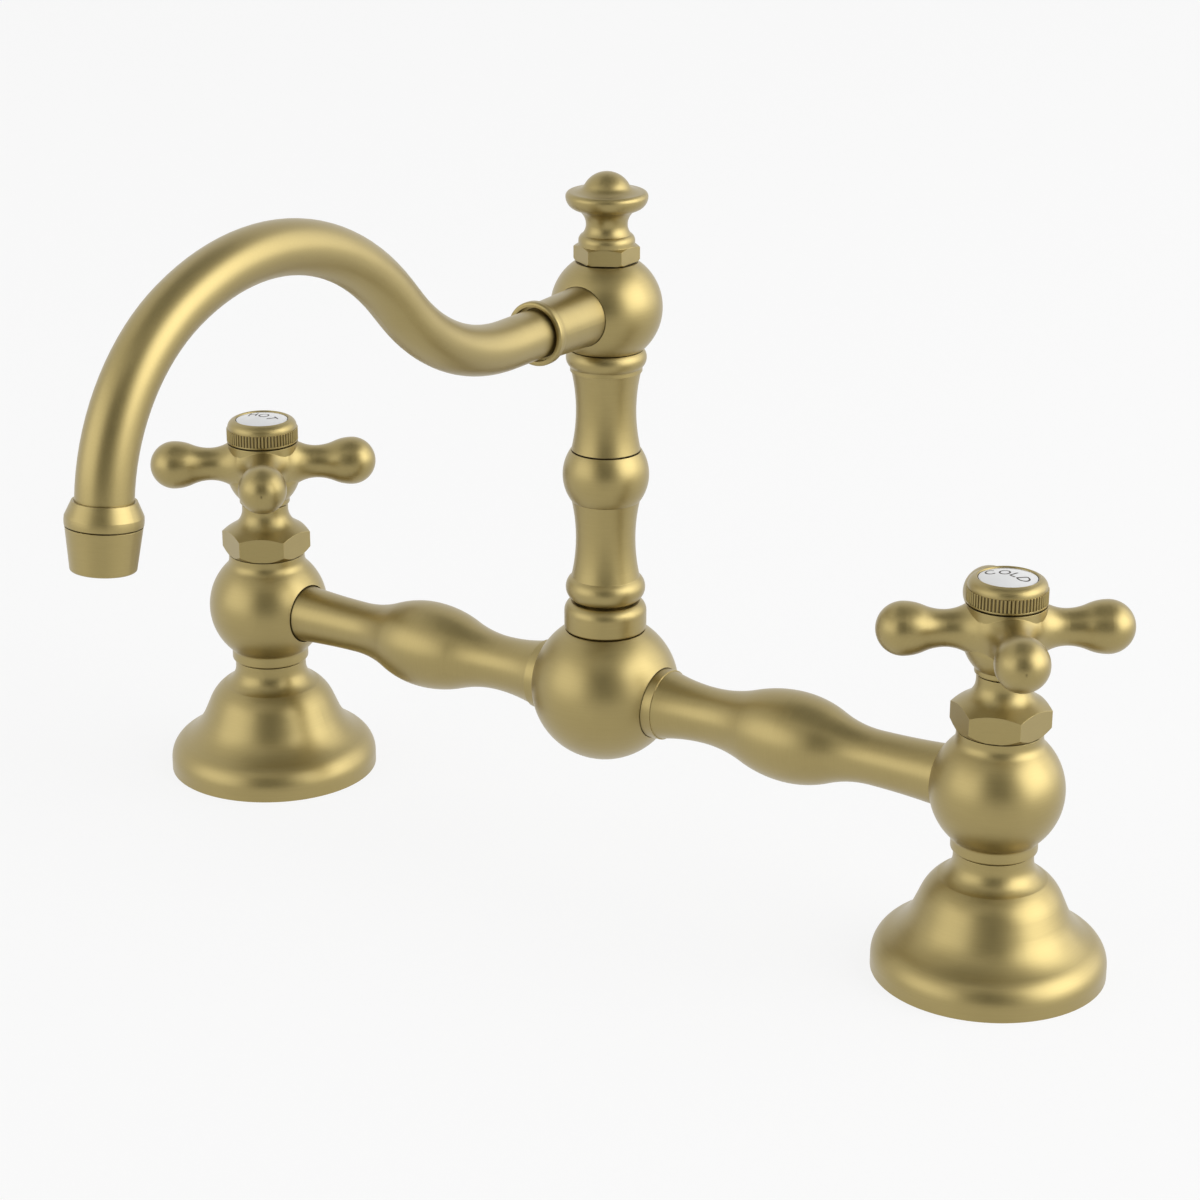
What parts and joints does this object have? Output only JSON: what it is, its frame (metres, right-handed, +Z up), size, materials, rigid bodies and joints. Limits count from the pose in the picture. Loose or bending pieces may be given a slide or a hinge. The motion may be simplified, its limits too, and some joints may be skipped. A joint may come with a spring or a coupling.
{
  "type": "bridge bathroom faucet",
  "caption": "Bridge faucet for a wash basin: deck valves with cross handles and porcelain index discs, a turned bridge and column, and a swivelling gooseneck spout",
  "frame": {"origin": "top of the deck, midway between the two valves, under the bridge's hub", "axes": "+Z up; +X along the bridge to the cold valve; the spout at rest points to -Y"},
  "size_m": [0.255, 0.1965, 0.2342],
  "materials": {
    "satin_brass": "satin brushed",
    "plain_brass": "as machined",
    "porcelain": "gloss",
    "disc_ceramic": "lapped",
    "rubber": "matt",
    "nylon": "moulded",
    "steel": "plain"
  },
  "bodies": {
    "bridge": {"hot_base": "satin_brass", "hot_base_gasket": "rubber", "hot_shank": "plain_brass", "hot_rubber_washer": "rubber", "hot_steel_washer": "steel", "hot_lock_nut": "plain_brass", "hot_valve_body": "satin_brass", "hot_seat_seal": "rubber", "hot_cartridge": "plain_brass", "hot_fixed_disc": "disc_ceramic", "hot_bonnet_nut": "satin_brass", "hot_bridge_arm": "satin_brass", "hot_arm_hub_ring": "rubber", "hot_arm_valve_ring": "rubber", "cold_base": "satin_brass", "cold_base_gasket": "rubber", "cold_shank": "plain_brass", "cold_rubber_washer": "rubber", "cold_steel_washer": "steel", "cold_lock_nut": "plain_brass", "cold_valve_body": "satin_brass", "cold_seat_seal": "rubber", "cold_cartridge": "plain_brass", "cold_fixed_disc": "disc_ceramic", "cold_bonnet_nut": "satin_brass", "cold_bridge_arm": "satin_brass", "cold_arm_hub_ring": "rubber", "cold_arm_valve_ring": "rubber", "bridge_hub": "satin_brass", "collar_nut": "satin_brass", "friction_washer": "nylon"},
    "hot_handle": {"hot_handle": "satin_brass", "hot_index_ring": "satin_brass", "hot_index_disc": "porcelain", "hot_handle_screw": "steel", "hot_stem": "plain_brass", "hot_stem_ring": "rubber", "hot_moving_disc": "disc_ceramic"},
    "cold_handle": {"cold_handle": "satin_brass", "cold_index_ring": "satin_brass", "cold_index_disc": "porcelain", "cold_handle_screw": "steel", "cold_stem": "plain_brass", "cold_stem_ring": "rubber", "cold_moving_disc": "disc_ceramic"},
    "spout": {"swivel": "plain_brass", "swivel_upper_ring": "rubber", "swivel_lower_ring": "rubber", "lower_column": "satin_brass", "upper_column": "satin_brass", "spout_ball": "satin_brass", "finial": "satin_brass", "finial_seal": "rubber", "spout_socket": "satin_brass", "spout_tube": "satin_brass", "outlet_collar": "satin_brass", "aerator_shell": "satin_brass", "aerator_washer": "rubber", "aerator_insert": "nylon"}
  },
  "joints": [
    {"name": "hot_handle_turn", "type": "hinge", "parent": "bridge", "child": "hot_handle", "pos_m": [-0.1016, 0, 0.0802], "axis": [0, 0, 1], "range_deg": [0, 90]},
    {"name": "cold_handle_turn", "type": "hinge", "parent": "bridge", "child": "cold_handle", "pos_m": [0.1016, 0, 0.0802], "axis": [0, 0, 1], "range_deg": [-90, 0]},
    {"name": "spout_swivel", "type": "hinge", "parent": "bridge", "child": "spout", "pos_m": [0, 0, 0.1348], "axis": [0, 0, 1], "continuous": true}
  ]
}
